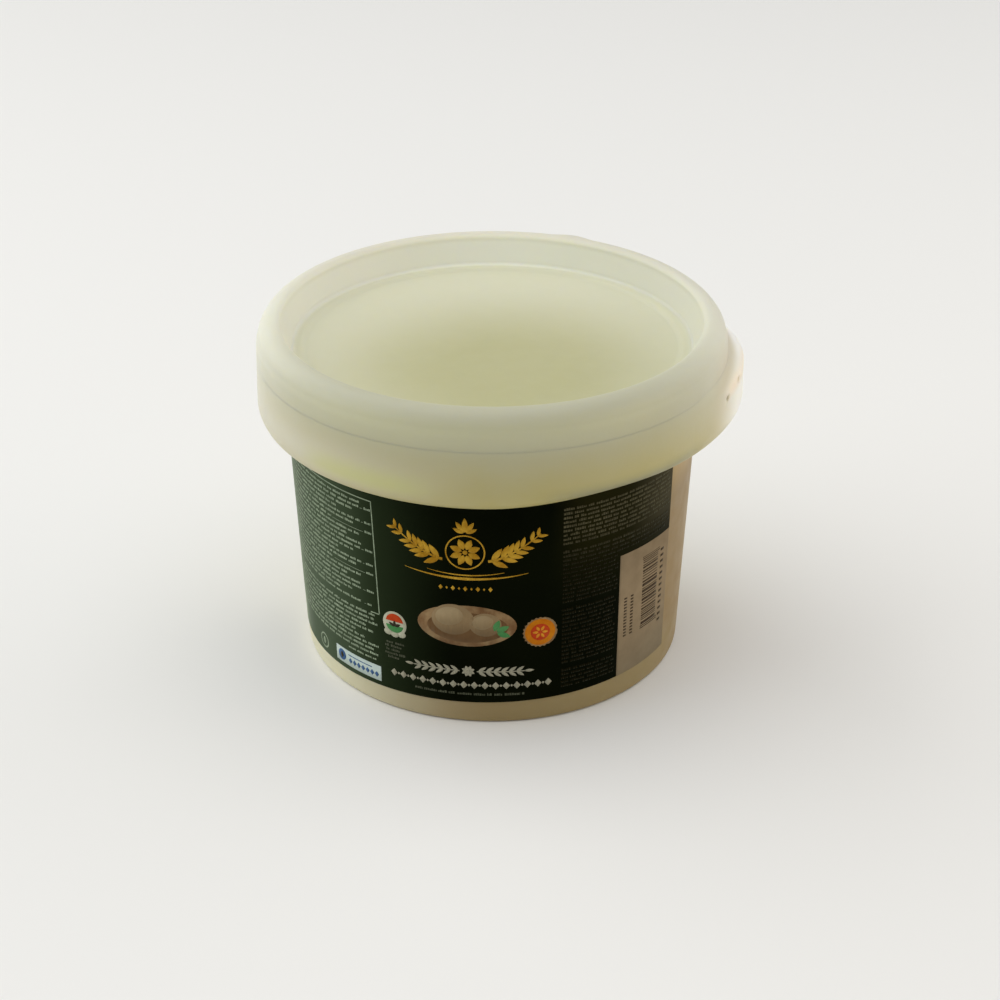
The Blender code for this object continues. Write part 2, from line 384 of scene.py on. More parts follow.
def makeTub(shape):
    grooveIn = shape["grooveRadius"] - shape["grooveWidth"] / 2
    grooveOut = shape["grooveRadius"] + shape["grooveWidth"] / 2
    depth = shape["grooveDepth"]
    heel = shape["heelRadius"]
    profile = [(0.0, 0.0), (grooveIn, 0.0), (grooveIn + depth, depth),
               (grooveOut - depth, depth), (grooveOut, 0.0)]
    profile += arcPoints((shape["baseRadius"] - heel, heel), (heel, heel), -math.pi / 2, 0.0, 8)
    wallFoot = (wallRadius(shape["wallFootZ"]), shape["wallFootZ"])
    wallTop = (wallRadius(shape["rimBottom"]), shape["rimBottom"])
    profile += linePoints(wallFoot, wallTop, 30)
    inset = shape["rimInset"]
    profile += [wallTop, (lidShape["crestRadius"] + lidShape["beadWidth"] - inset, shape["rimBottom"])]
    profile += beadArc(inset, 8) + underLid(inset)
    tub = turnProfile("tubShell", profile, shape["turnSteps"])
    made, tree, shader, place = startMaterial("tubPlastic")
    patches = noiseRange(tree, place, plasticLook["mottle"], *shape["mottleRange"])
    # painted shade toward the front right, broken up by the mottle
    share = mathOf(tree, "MULTIPLY", towardShare(tree, place, *shape["paintedShadeSide"]), patches)
    colour = mixColour(tree, share, shape["pale"], shape["deep"])
    # painted shade on the wall's foot at the front right
    low, high = shape["paintedShadeFootHeights"]
    foot = rangeOf(tree, heightAt(tree, place), low, high, 1.0, 0.0, smooth=True)
    foot = mathOf(tree, "MULTIPLY", foot, towardShare(tree, place, *shape["paintedShadeFootSide"]))
    # painted light under the band at the right
    colour = addPatches(tree, place, colour, shape["patches"])
    finishPlastic(tree, shader, place, mixColour(tree, foot, colour, shape["foot"]))
    tub.data.materials.append(made)
    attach(tub, "root")
    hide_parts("tub")


makeTub(tubShape)
print("tub made")


# seal band: thin skirt with a curled lower edge and the tear tab

bandShape = {
    "topRadius": 66.45 * mm,
    "topThickness": 1.2 * mm,
    "radius": 66.85 * mm,
    "shelfShare": 0.4,         # how much of the way out the skirt is at the tab's shelf
    "thickness": 1.4 * mm,
    "edgeCut": 0.1 * mm,
    "edgeGap": 0.06 * mm,      # keeps the cut and the side apart
    "curlZ": 78.0 * mm,
    "curlRadius": 5.6 * mm,
    "curlAngle": math.radians(68),
    "insideRise": 1.0 * mm,    # from the curl to where the inside starts to slope
    "turnSteps": 300,
    "lipRise": 1.5 * mm,       # the lower edge lifts a little at the front right
    "lipRiseAzimuth": math.radians(31),
    "lipRiseHalfWidth": math.radians(34),
    "lipRiseHeights": (75.0 * mm, 82.0 * mm),
    # soft patches: painted light keeps the band's lit left side paler and less yellow; painted shade where
    # the dark label's corner lies behind the skirt; a yellow-olive spot low on the front left; a painted
    # warm glow on the tab
    "patches": (
        ((-160.0, 0.022, 0.066), (0.0700, 0.0800, 0.0915), 0.7, (0.655, 0.635, 0.53)),
        ((-55.0, 0.0590, 0.0655), (0.0735, 0.0752, 0.0800), 0.7, (0.23, 0.235, 0.15)),
        ((-121.0, 0.0625, 0.0668), (0.0752, 0.0790, 0.0850), 0.75, (0.56, 0.56, 0.235)),
        ((-13.0, 0.0672, 0.0695), (0.0830, 0.0868, 0.0900), 0.8, (0.95, 0.77, 0.58)),
    ),
}

tabShape = {
    "azimuth": math.radians(98),
    "halfWidth": math.radians(46),
    "depth": 5.2 * mm,
    "shelfZ": 87.6 * mm,
    "slots": ((math.radians(79), 86.6 * mm), (math.radians(71.2), 84.9 * mm)),    # azimuth and height
    "slotSize": (5.0 * mm, 2.0 * mm, 1.8 * mm),
    "slotRound": 0.3 * mm,
    "slotDepth": 0.8 * mm,
    # painted glow of light through the tab, and the radii over which it fades in
    "paintedLightColour": (0.97, 0.955, 0.86),
    "paintedGlowRadii": (0.0672, 0.0705),
}


def tabReach(angle):
    return tabShape["depth"] * swell(angle, tabShape["azimuth"], tabShape["halfWidth"])


def bandMaterial(shape):
    made, tree, shader, place = startMaterial("bandPlastic")
    # painted light: the hollow tab is painted paler, standing in for light that comes through it
    paintedGlowShare = rangeOf(tree, radiusAt(tree, place), *tabShape["paintedGlowRadii"], smooth=True)
    colour = mixColour(tree, paintedGlowShare, outsideColour(tree, place), tabShape["paintedLightColour"])
    # the band's spots of painted light and shade, and its yellow-olive spot
    finishPlastic(tree, shader, place, addPatches(tree, place, colour, shape["patches"]))
    return made


def cutSlot(band, angle, height, index):
    reach = bandShape["radius"] + tabReach(angle) - tabShape["slotDepth"] + tabShape["slotSize"][0] / 2
    mesh = bmesh.new()
    bmesh.ops.create_cube(mesh, size=1.0)
    bmesh.ops.scale(mesh, vec=tabShape["slotSize"], verts=mesh.verts)
    bmesh.ops.bevel(mesh, geom=mesh.edges, offset=tabShape["slotRound"], segments=3, affect="EDGES")
    cutter = keepMesh(f"slotCutter{index}", mesh)
    cutter.location = (reach * math.sin(angle), -reach * math.cos(angle), height)
    cutter.rotation_euler.z = angle - math.pi / 2
    cut = band.modifiers.new("slot", "BOOLEAN")
    cut.operation = "DIFFERENCE"
    cut.object = cutter
    bpy.context.view_layer.update()
    graph = bpy.context.evaluated_depsgraph_get()
    cutMesh = bpy.data.meshes.new_from_object(band.evaluated_get(graph))
    band.modifiers.clear()
    band.data = cutMesh
    bpy.data.objects.remove(cutter)


def makeBand(shape):
    top = bandHigh.z
    cut, curl, lip = shape["edgeCut"], shape["curlRadius"], shape["curlAngle"]
    half = shape["thickness"] / 2
    inner = curl - shape["thickness"]
    centre = (shape["radius"] - curl, shape["curlZ"])
    insideRadius = shape["topRadius"] - shape["topThickness"]
    shelf = tabShape["shelfZ"]
    shelfRadius = shape["topRadius"] + shape["shelfShare"] * (shape["radius"] - shape["topRadius"])
    profile = linePoints((insideRadius, shelf), (insideRadius, top), 4)
    profile += [(insideRadius, top)]
    profile += arcPoints((shape["topRadius"] - cut, top - cut), (cut, cut), math.pi / 2, 0.0, 4)
    profile += linePoints((shape["topRadius"], top - cut - shape["edgeGap"]), (shelfRadius, shelf), 6)
    profile += linePoints((shelfRadius, shelf), (shape["radius"], shape["curlZ"]), 8)
    profile += arcPoints(centre, (curl, curl), 0.0, -lip, 16)
    lipCentre = (centre[0] + (curl - half) * math.cos(lip), centre[1] - (curl - half) * math.sin(lip))
    profile += arcPoints(lipCentre, (half, half), -lip, -lip - math.pi, 6)[1:-1]
    profile += arcPoints(centre, (inner, inner), -lip, 0.0, 10)
    slopeFoot = (centre[0] + inner, shape["curlZ"] + shape["insideRise"])
    profile += linePoints(slopeFoot, (insideRadius, shelf), 6)
    band = turnProfile("sealBandShell", profile, shape["turnSteps"], ring=True)
    fadeEnd = top - cut
    full, none = shape["lipRiseHeights"]
    for vert in band.data.vertices:
        share = min(1.0, max(0.0, (fadeEnd - vert.co.z) / (fadeEnd - shelf)))
        around = azimuthOf(vert.co.x, vert.co.y)
        pushOut(vert, share * tabReach(around))
        low = min(1.0, max(0.0, (none - vert.co.z) / (none - full)))
        rise = swell(around, shape["lipRiseAzimuth"], shape["lipRiseHalfWidth"])
        vert.co.z += shape["lipRise"] * low * rise
    for index, (angle, height) in enumerate(tabShape["slots"]):
        cutSlot(band, angle, height, index)
    band.data.materials.clear()
    band.data.materials.append(bandMaterial(shape))
    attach(band, "root")
    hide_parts("seal_band")


makeBand(bandShape)
print("seal band made")


# lid: rounded bead, sloping recess wall, flat ring and a slightly lower panel

lidLook = {
    # the panel: deeper where the brine shows through and paler toward its edge; its paler back half is a
    # painted reflection
    "panelDeep": (0.475, 0.465, 0.258),
    "panelPale": (0.67, 0.665, 0.50),
    # painted light and shade on the recess wall: near white, turning darker toward the left and darker
    # still toward the right
    "paintedGlowWallBack": (0.96, 0.96, 0.78),
    "paintedShadeWallSides": ((180.0, (0.81, 0.80, 0.675)), (0.0, (0.66, 0.66, 0.545))),    # painted shade by side: heading and colour
    "paintedWallLightReach": (0.0, 0.055),
    "wallFade": 2.0 * mm,
    "flatFade": 3.0 * mm,
    "mottleRange": (0.94, 1.02),
    "deepCentre": (0.004, -0.021, 0.0),
    "deepReach": (0.016, 0.067),
    "outside": (0.0588, 0.0604),    # radii over which the bead takes the outside's colour
}


def lidMaterial(shape, look):
    made, tree, shader, place = startMaterial("lidPlastic")
    # darker where the brine under the panel shows through, most a little in front of the middle; the paler
    # back half of the panel is a painted reflection
    offset = addNode(tree, "ShaderNodeVectorMath", {0: place, 1: look["deepCentre"]}, operation="SUBTRACT")
    reach = radiusAt(tree, offset.outputs["Vector"])
    deep = rangeOf(tree, reach, *look["deepReach"], 1.0, 0.0, smooth=True)
    foot = shape["footRadius"]
    flat = rangeOf(tree, radiusAt(tree, place), foot - look["flatFade"], foot, 1.0, 0.0)
    patches = noiseRange(tree, place, plasticLook["mottle"], *look["mottleRange"])
    share = mathOf(tree, "MULTIPLY", mathOf(tree, "MULTIPLY", deep, flat), patches)
    top = mixColour(tree, share, look["panelPale"], look["panelDeep"])
    # the recess wall takes painted light and shade by side
    wall = rangeOf(tree, radiusAt(tree, place), foot - look["wallFade"], foot, smooth=True)
    paintedWallLight = look["paintedGlowWallBack"]
    for heading, colour in look["paintedShadeWallSides"]:
        paintedWallLight = mixColour(tree, towardShare(tree, place, heading, *look["paintedWallLightReach"]), paintedWallLight, colour)
    top = mixColour(tree, wall, top, paintedWallLight)
    outside = rangeOf(tree, radiusAt(tree, place), *look["outside"], smooth=True)
    finishPlastic(tree, shader, place, mixColour(tree, outside, top, outsideColour(tree, place)))
    return made


def makeLid(shape):
    edge, ring, gap = lidLow.z, shape["ringZ"], shape["pointGap"]
    panelEdge, foot, outer = shape["panelRadius"], shape["footRadius"], shape["edgeRadius"]
    fillet, corner, thick = shape["fillet"], shape["edgeCorner"], shape["thickness"]
    wallTopZ = lidHigh.z - shape["crestInner"][1]
    footZ = ring + fillet
    beadHeight = lidHigh.z - shape["beadSideZ"]
    panelZ = ring - shape["panelStep"]
    profile = linePoints((0.0, panelZ), (panelEdge, panelZ), 18)
    for i in range(8):
        share = i / 7
        ramp = share * share * (3 - 2 * share)
        profile += [(panelEdge + shape["rampWidth"] * share, panelZ + shape["panelStep"] * ramp)]
    profile += linePoints((panelEdge + shape["rampWidth"] + gap, ring), (foot - fillet, ring), 3)
    profile += arcPoints((foot - fillet, footZ), (fillet, fillet), -math.pi / 2, 0.0, 8)
    wallFootZ = footZ + gap
    profile += linePoints((recessRadius(wallFootZ), wallFootZ), (recessRadius(wallTopZ), wallTopZ), 8)
    crest = (shape["crestRadius"], wallTopZ)
    profile += arcPoints(crest, shape["crestInner"], math.pi, math.pi / 2, 10)[:-1]
    for radius, z in beadArc(0.0, 56)[::-1]:
        dip = math.exp(-(((z - shape["tierZ"]) / shape["tierHalf"]) ** 2))
        profile.append((radius - shape["tierDepth"] * dip, z))
    profile += [(outer, edge + shape["edgeFlat"])]
    profile += arcPoints((outer - corner, edge + corner), (corner, corner), 0.0, -math.pi / 2, 4)
    profile += [(shape["crestRadius"] + shape["beadWidth"] - thick, edge)]
    profile += beadArc(thick, 8) + underLid(thick)
    lid = turnProfile("lidShell", profile, shape["turnSteps"])
    low, high = shape["nibHeights"]
    for vert in lid.data.vertices:
        # the nib stands on the bead's outer face alone
        reach = math.hypot(vert.co.x, vert.co.y)
        height = (vert.co.z - shape["beadSideZ"]) / beadHeight
        inside = (shape["beadWidth"] - thick / 2) * math.sqrt(max(0.0, 1 - height**2))
        if height > low and reach > shape["crestRadius"] + max(inside, shape["nibInset"]):
            rise = min(1.0, (height - low) / (high - low))
            bump = swell(azimuthOf(vert.co.x, vert.co.y), shape["nibAzimuth"], shape["nibHalfWidth"])
            pushOut(vert, rise * shape["nibHeight"] * bump)
    lid.data.materials.append(lidMaterial(shape, lidLook))
    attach(lid, "root")
    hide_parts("lid")


makeLid(lidShape)
print("lid made")


# label: a film round the front of the wall. Its layout is flat, in mm: u runs round the wall from the
# front toward the tab, v is the height over the base

labelShape = {
    "left": -90.0,         # degrees at the top edge
    "right": 58.3,
    "riseStart": -45.0,    # mm round the wall from where the lower edge climbs
    "rise": 0.0169,        # mm of climb for each mm
    "filmIn": 0.05,        # mm off the wall
    "filmOut": 0.25,
    "columns": 150,
    "rows": 8,
    "colour": (0.0016, 0.0026, 0.0002),
    "other": (0.0028, 0.0040, 0.0006),
    "spread": (0.35, 0.65),    # of the noise that mixes two tones of the film or of an ink
    "mottle": 60.0,
    "smear": 120.0,
    "smearStretch": (1.0, 1.0, 0.35),
    "roughness": (0.30, 0.42),
    "wave": 90.0,              # slow waves from the wrapping
    "waveStretch": (1.0, 1.0, 0.3),
    "waveDepth": 0.00012,
    # painted sheen: the film is painted paler toward both ends: how far round a sheen grows (1 is at +X),
    # heights, colour
    "paintedSheens": (
        ((-0.158, -0.947), (-0.02, -0.01), (0.029, 0.046, 0.019)),
        ((-0.520, -0.950), (-0.02, -0.01), (0.070, 0.099, 0.058)),
        ((0.246, 0.456), (0.034, 0.064), (0.013, 0.012, 0.002)),
        ((0.625, 0.865), (0.046, 0.062), (0.060, 0.053, 0.029)),
    ),
    "specular": 0.012,
    "sheen": (0.90, 0.15),       # strength and roughness: the bare film pales where it turns away
    "inkSheen": (0.075, 0.30),
    "sheenTint": (0.86, 1.0, 0.76),
}
labelTop = labelHigh.z / mm


def labelEdge(u):
    # height of the label's lower edge
    return labelLow.z / mm + labelShape["rise"] * max(0.0, u - labelShape["riseStart"])


def onLabel(u, v, lift):
    radius = wallRadius(v * mm)
    angle = u * mm / radius
    reach = radius + (labelShape["filmOut"] + lift) * mm
    return (reach * math.sin(angle), -reach * math.cos(angle), v * mm)


topRadius = wallRadius(labelHigh.z) / mm
labelLeftU = math.radians(labelShape["left"]) * topRadius
labelRightU = math.radians(labelShape["right"]) * topRadius


def addFilmGloss(tree, shader, place, sheen):
    # the film and the ink on it catch the light alike
    shader.inputs["Specular IOR Level"].default_value = labelShape["specular"]
    shader.inputs["Sheen Weight"].default_value, shader.inputs["Sheen Roughness"].default_value = sheen
    shader.inputs["Sheen Tint"].default_value = (*labelShape["sheenTint"], 1.0)
    wave = noiseAt(tree, place, labelShape["wave"], 1.0, labelShape["waveStretch"])
    addBump(tree, shader, wave, labelShape["waveDepth"])


def filmMaterial(shape):
    made, tree, shader, place = startMaterial("labelFilm")
    patches = noiseRange(tree, place, shape["mottle"], 0.0, 1.0, detail=4.0, spread=shape["spread"])
    across = addNode(tree, "ShaderNodeSeparateXYZ", {"Vector": place}).outputs["X"]
    across = mathOf(tree, "DIVIDE", across, radiusAt(tree, place))
    colour = mixColour(tree, patches, shape["colour"], shape["other"])
    # painted sheen toward both ends of the film
    for reach, heights, paintedLightColour in shape["paintedSheens"]:
        share = rangeOf(tree, across, *reach, smooth=True)
        rise = rangeOf(tree, heightAt(tree, place), *heights, smooth=True)
        colour = mixColour(tree, mathOf(tree, "MULTIPLY", share, rise), colour, paintedLightColour)
    tree.links.new(colour, shader.inputs["Base Color"])
    smear = noiseRange(tree, place, shape["smear"], *shape["roughness"], 5.0, shape["smearStretch"])
    tree.links.new(smear, shader.inputs["Roughness"])
    addFilmGloss(tree, shader, place, shape["sheen"])
    return made


def makeLabel(shape):
    mesh = bmesh.new()
    layers = []
    for lift in (0.0, shape["filmIn"] - shape["filmOut"]):
        rows = []
        for row in range(shape["rows"] + 1):
            verts = []
            for column in range(shape["columns"] + 1):
                u = labelLeftU + (labelRightU - labelLeftU) * column / shape["columns"]
                v = labelEdge(u) + (labelTop - labelEdge(u)) * row / shape["rows"]
                verts.append(mesh.verts.new(onLabel(u, v, lift)))
            rows.append(verts)
        layers.append(rows)
    for rows in layers:
        for low, high in zip(rows, rows[1:]):
            for i in range(shape["columns"]):
                mesh.faces.new((low[i], low[i + 1], high[i + 1], high[i]))
    bmesh.ops.bridge_loops(mesh, edges=[edge for edge in mesh.edges if edge.is_boundary])
    bmesh.ops.recalc_face_normals(mesh, faces=mesh.faces)
    film = keepMesh("labelFilm", mesh)
    film.data.materials.append(filmMaterial(shape))
    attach(film, "root")
    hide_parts("label")


makeLabel(labelShape)
print("label film made")


# print: each ink is one thin sheet of simple shapes, laid out flat and then bent round the wall

inkLooks = {    # two tones, roughness, and the level on which the ink lies
    "goldInk": ((0.36, 0.18, 0.012), (0.55, 0.325, 0.035), 0.38, 2),
    "paleInk": ((0.50, 0.50, 0.38), (0.42, 0.42, 0.31), 0.45, 3),
    "titleInk": ((0.35, 0.335, 0.25), (0.29, 0.28, 0.21), 0.45, 3),
    "greyInk": ((0.325, 0.395, 0.275), (0.235, 0.292, 0.200), 0.45, 1),
    "dimInk": ((0.092, 0.083, 0.045), (0.068, 0.060, 0.033), 0.45, 1),
    "mistInk": ((0.085, 0.092, 0.060), (0.065, 0.070, 0.045), 0.45, 1),
    "panelInk": ((0.290, 0.220, 0.135), (0.255, 0.192, 0.117), 0.42, 1),
    "barInk": ((0.055, 0.035, 0.022), (0.07, 0.05, 0.03), 0.45, 2),
    "blueInk": ((0.05, 0.11, 0.24), (0.07, 0.14, 0.28), 0.42, 4),
    "skyInk": ((0.50, 0.60, 0.56), (0.55, 0.64, 0.60), 0.42, 2),
    "redInk": ((0.43, 0.042, 0.010), (0.48, 0.062, 0.016), 0.42, 4),
    "greenInk": ((0.06, 0.22, 0.07), (0.09, 0.26, 0.09), 0.42, 4),
    "orangeInk": ((0.48, 0.140, 0.007), (0.55, 0.20, 0.010), 0.40, 2),
    "amberInk": ((0.60, 0.20, 0.02), (0.66, 0.30, 0.03), 0.40, 5),
    "duskInk": ((0.035, 0.030, 0.018), (0.05, 0.04, 0.025), 0.42, 5),
    "clothInk": ((0.30, 0.20, 0.10), (0.17, 0.09, 0.04), 0.45, 1),
    "cheeseInk": ((0.30, 0.215, 0.115), (0.27, 0.19, 0.10), 0.42, 3),
    "creamInk": ((0.38, 0.295, 0.170), (0.35, 0.265, 0.15), 0.42, 4),
    "shadeInk": ((0.12, 0.065, 0.028), (0.16, 0.09, 0.04), 0.45, 2),
}
inkFades = {    # a tone that takes over lower down, and the heights between which it does
    "dimInk": ((0.0100, 0.0080, 0.0024), (0.063, 0.049)),
    "cheeseInk": ((0.17, 0.11, 0.055), (0.036, 0.028)),
    "creamInk": ((0.27, 0.195, 0.105), (0.038, 0.032)),
}
printSet = {
    "levelStep": 0.012,   # mm between one ink and the next
    "thickness": 0.01,
    "sliceStep": 1.6,     # mm round the wall between folds of a sheet
    "tone": 260.0,
    "grain": 1400.0,
    "roughSpread": 0.05,
    "seed": 11,
}
inkMeshes = {name: bmesh.new() for name in inkLooks}
dice = random.Random(printSet["seed"])


def stamp(ink, outline):
    # one filled outline of (u, v) points
    mesh = inkMeshes[ink]
    verts = [mesh.verts.new((u, v, 0.0)) for u, v in outline]
    face = mesh.faces.new(verts)
    if len(verts) > 4:
        bmesh.ops.triangulate(mesh, faces=[face])


def stampBar(ink, left, right, bottom, top):
    stamp(ink, [(left, bottom), (right, bottom), (right, top), (left, top)])


def ovalPoints(centre, radii, steps=28, tilt=0.0, start=0.0, end=2 * math.pi):
    points = []
    count = steps if end - start > 6.28 else steps + 1    # a full turn ends where it starts
    for i in range(count):
        angle = start + (end - start) * i / steps
        x, y = radii[0] * math.cos(angle), radii[1] * math.sin(angle)
        points.append((centre[0] + x * math.cos(tilt) - y * math.sin(tilt),
                       centre[1] + x * math.sin(tilt) + y * math.cos(tilt)))
    return points


def pointAt(centre, radius, angle):
    return (centre[0] + radius * math.cos(angle), centre[1] + radius * math.sin(angle))


def stampRing(ink, centre, outer, inner, steps):
    for i in range(steps):
        a, b = 2 * math.pi * i / steps, 2 * math.pi * (i + 1) / steps
        stamp(ink, [pointAt(centre, radius, angle)
                    for radius, angle in ((inner, a), (outer, a), (outer, b), (inner, b))])


leafForm = {"blunt": 0.8, "foot": 1.15, "tip": 0.85}    # wider at its foot than at its tip


def leafPoints(base, angle, length, width, steps=7):
    side = []
    for i in range(steps + 1):
        share = i / steps
        half = width / 2 * (leafForm["foot"] + (leafForm["tip"] - leafForm["foot"]) * share)
        side.append((length * share, half * math.sin(math.pi * share) ** leafForm["blunt"]))
    outline = side + [(x, -y) for x, y in side[-2:0:-1]]
    return [(base[0] + x * math.cos(angle) - y * math.sin(angle),
             base[1] + x * math.sin(angle) + y * math.cos(angle)) for x, y in outline]


def stampOval(ink, *oval):
    stamp(ink, ovalPoints(*oval))


def stampLeaf(ink, *leaf):
    stamp(ink, leafPoints(*leaf))


def stampUprightLeaf(ink, centre, length, width):
    stampLeaf(ink, (centre[0], centre[1] - length / 2), math.pi / 2, length, width)


def stampStroke(ink, points, widths):
    # a ribbon along points, with a width at each
    for i in range(len(points) - 1):
        (x0, y0), (x1, y1) = points[i], points[i + 1]
        before = points[max(0, i - 1)]
        after = points[min(len(points) - 1, i + 2)]
        normals = []
        for (ax, ay), (bx, by) in ((before, (x1, y1)), ((x0, y0), after)):
            length = math.hypot(bx - ax, by - ay)
            normals.append((-(by - ay) / length, (bx - ax) / length))
        (n0x, n0y), (n1x, n1y) = normals
        w0, w1 = widths[i] / 2, widths[i + 1] / 2
        stamp(ink, [(x0 - n0x * w0, y0 - n0y * w0), (x1 - n1x * w1, y1 - n1y * w1),
                    (x1 + n1x * w1, y1 + n1y * w1), (x0 + n0x * w0, y0 + n0y * w0)])


smallPrint = {
    "word": (1.2, 4.6), "stroke": (0.26, 0.7), "strokeGap": 0.13, "wordGap": (0.4, 0.75),
    "tall": (0.62, 1.0),    # shares of the line's height
    "shortest": 0.8,
}


def stampLine(ink, left, right, v, height):
    # one line of small print: short strokes in groups, with no letters in them
    u = left
    while u < right - smallPrint["shortest"]:
        end = min(u + dice.uniform(*smallPrint["word"]), right)
        while u < end - smallPrint["strokeGap"]:
            wide = dice.uniform(*smallPrint["stroke"])
            tall = height * dice.uniform(*smallPrint["tall"])
            stampBar(ink, u, min(u + wide, end), v - height / 2, v - height / 2 + tall)
            u += wide + smallPrint["strokeGap"]
        u = end + dice.uniform(*smallPrint["wordGap"])


def lineHeights(top, bottom, pitch):
    # the heights of a block's lines, from its top down
    heights = []
    while top > bottom:
        heights.append(top)
        top -= pitch
    return heights


textBlock = {
    "left": -86.0, "right": -38.5, "top": 65.6, "bottom": 32.6, "pitch": 1.48, "height": 0.8,
    "ends": (0.0, 0.6, 3.2, 9.5, 0.3, 1.6, 12.0, 0.8, 5.4),    # mm by which each line stays short
    "leaders": (1, 4, 6),      # lines in each nine that carry on to the frame with a thin rule
    "leaderEnd": (-37.2, -34.8), "ruleEnd": -37.7, "ruleGap": 0.5, "rule": (-0.35, -0.22),
    "frameRight": (-34.752, -33.154),    # at its top and its foot, as the frame follows the wall's taper
    "frameTop": 67.2, "frameBottom": 31.0, "frameWidth": 0.34, "frameSteps": 12, "frameTail": 3.0,
    "lowTop": 30.0, "lowBottom": 16.6, "lowRight": -33.4, "lowEnds": (0.4, 1.8, 0.6, 4.6, 2.2, 9.0, 5.5),
}


def printTextBlock(block):
    for i, v in enumerate(lineHeights(block["top"], block["bottom"], block["pitch"])):
        turn = i % len(block["ends"])
        end = block["right"] - block["ends"][turn]
        stampLine("greyInk", block["left"], end, v, block["height"])
        if turn in block["leaders"]:
            low, high = block["rule"]
            stampLine("greyInk", *block["leaderEnd"], v, block["height"])
            stampBar("greyInk", end + block["ruleGap"], block["ruleEnd"], v + low, v + high)
    for i, v in enumerate(lineHeights(block["lowTop"], block["lowBottom"], block["pitch"])):
        short = block["lowEnds"][i % len(block["lowEnds"])]
        stampLine("greyInk", block["left"], block["lowRight"] - short, v, block["height"])
    topU, lowU = block["frameRight"]
    top, low = block["frameTop"], block["frameBottom"]
    width, steps = block["frameWidth"], block["frameSteps"]
    side = [(topU + (lowU - topU) * i / steps, top + (low - top) * i / steps) for i in range(steps + 1)]
    stampStroke("greyInk", side, [width] * len(side))
    stampBar("greyInk", block["left"], topU, top - width, top)
    stampBar("greyInk", lowU - block["frameTail"], lowU, low - width, low)


rightText = {
    "left": 19.3, "right": 58.8, "narrowRight": 37.0, "pitch": 1.34, "height": 0.86,
    "top": 68.2, "wideBottom": 50.6, "bottom": 10.4,
    "blankRows": ((16.6, 18.4), (36.8, 38.4), (55.0, 56.6)), "shorter": (0.0, 1.2),
}


def printRightText(block):
    for v in lineHeights(block["top"], block["bottom"], block["pitch"]):
        right = block["right"] if v > block["wideBottom"] else block["narrowRight"]
        if not any(low < v < high for low, high in block["blankRows"]):
            stampLine("dimInk", block["left"], right - dice.uniform(*block["shorter"]), v, block["height"])


barPanel = {
    "left": 37.6, "top": 48.4, "barsLeft": 46.6, "barsRight": 53.8,
    "barsBottom": 20.2, "barsTop": 44.4, "digitsLeft": 55.2, "digitsRight": 56.8,
    "barWidths": (0.3, 0.3, 0.6, 0.9), "barGaps": (0.3, 0.35, 0.6),
    "longZones": (0.8, 1.2), "longer": 0.8, "shorter": 0.3,    # guard bars at both ends of the code
    "digitsStart": 18.6, "digit": 0.8, "digitStep": 2.0,
    "sideMarks": (40.2, 42.7), "marksBottom": 20.5, "marksTop": 34.0, "mark": 0.55, "markStep": 1.05,
}


def printBarPanel(panel):
    stamp("panelInk", [(panel["left"], labelEdge(panel["left"])), (labelRightU, labelEdge(labelRightU)),
                       (labelRightU, panel["top"]), (panel["left"], panel["top"])])
    low, high = panel["barsBottom"], panel["barsTop"]
    v = low
    while v < high:
        width = dice.choice(panel["barWidths"])
        long = v < low + panel["longZones"][0] or v > high - panel["longZones"][1]
        left, right = (0.0, panel["longer"]) if long else (panel["shorter"], 0.0)
        stampBar("barInk", panel["barsLeft"] + left, panel["barsRight"] + right, v, min(v + width, high))
        v += width + dice.choice(panel["barGaps"])
    v = panel["digitsStart"]
    while v < high:
        stampBar("barInk", panel["digitsLeft"], panel["digitsRight"], v, v + panel["digit"])
        v += panel["digitStep"]
    mark = panel["mark"]
    for column in panel["sideMarks"]:
        v = panel["marksBottom"]
        while v < panel["marksTop"]:
            stampBar("barInk", column - mark, column + mark, v, v + mark)
            v += panel["markStep"]


boxBlock = {
    "left": -51.6, "right": -33.2, "bottom": 8.0, "top": 13.1,
    "line": (-45.6, -33.8, 15.0, 0.7),    # left, right, height over the base, height of the print
    "rowStart": 2.9, "barLength": 9.4, "barHeights": (11.59, 11.91),
    "lozenges": 7, "lozengeStep": 1.72, "lozengeV": 9.95, "lozenge": (0.78, 1.0),
    "disc": (1.75, 1.85), "discIn": 2.7, "discLeaf": (2.4, 1.3),
    "emblem": (-58.6, 10.4), "emblemRing": (2.5, 2.0), "emblemLeaf": (2.6, 1.5),
}


def printBox(block):
    stampBar("skyInk", block["left"], block["right"], block["bottom"], block["top"])
    centre = (block["left"] + block["discIn"], (block["bottom"] + block["top"]) / 2)
    stampOval("blueInk", centre, block["disc"])
    stampUprightLeaf("duskInk", centre, *block["discLeaf"])
    left = centre[0] + block["rowStart"]
    stampBar("blueInk", left, left + block["barLength"], *block["barHeights"])
    for i in range(block["lozenges"]):
        u = left + block["lozengeStep"] * (i + 0.5)
        stampOval("blueInk", (u, block["lozengeV"]), block["lozenge"], 4)
    stampLine("greyInk", *block["line"])
    stampRing("greyInk", block["emblem"], *block["emblemRing"], 24)
    stampUprightLeaf("greyInk", block["emblem"], *block["emblemLeaf"])


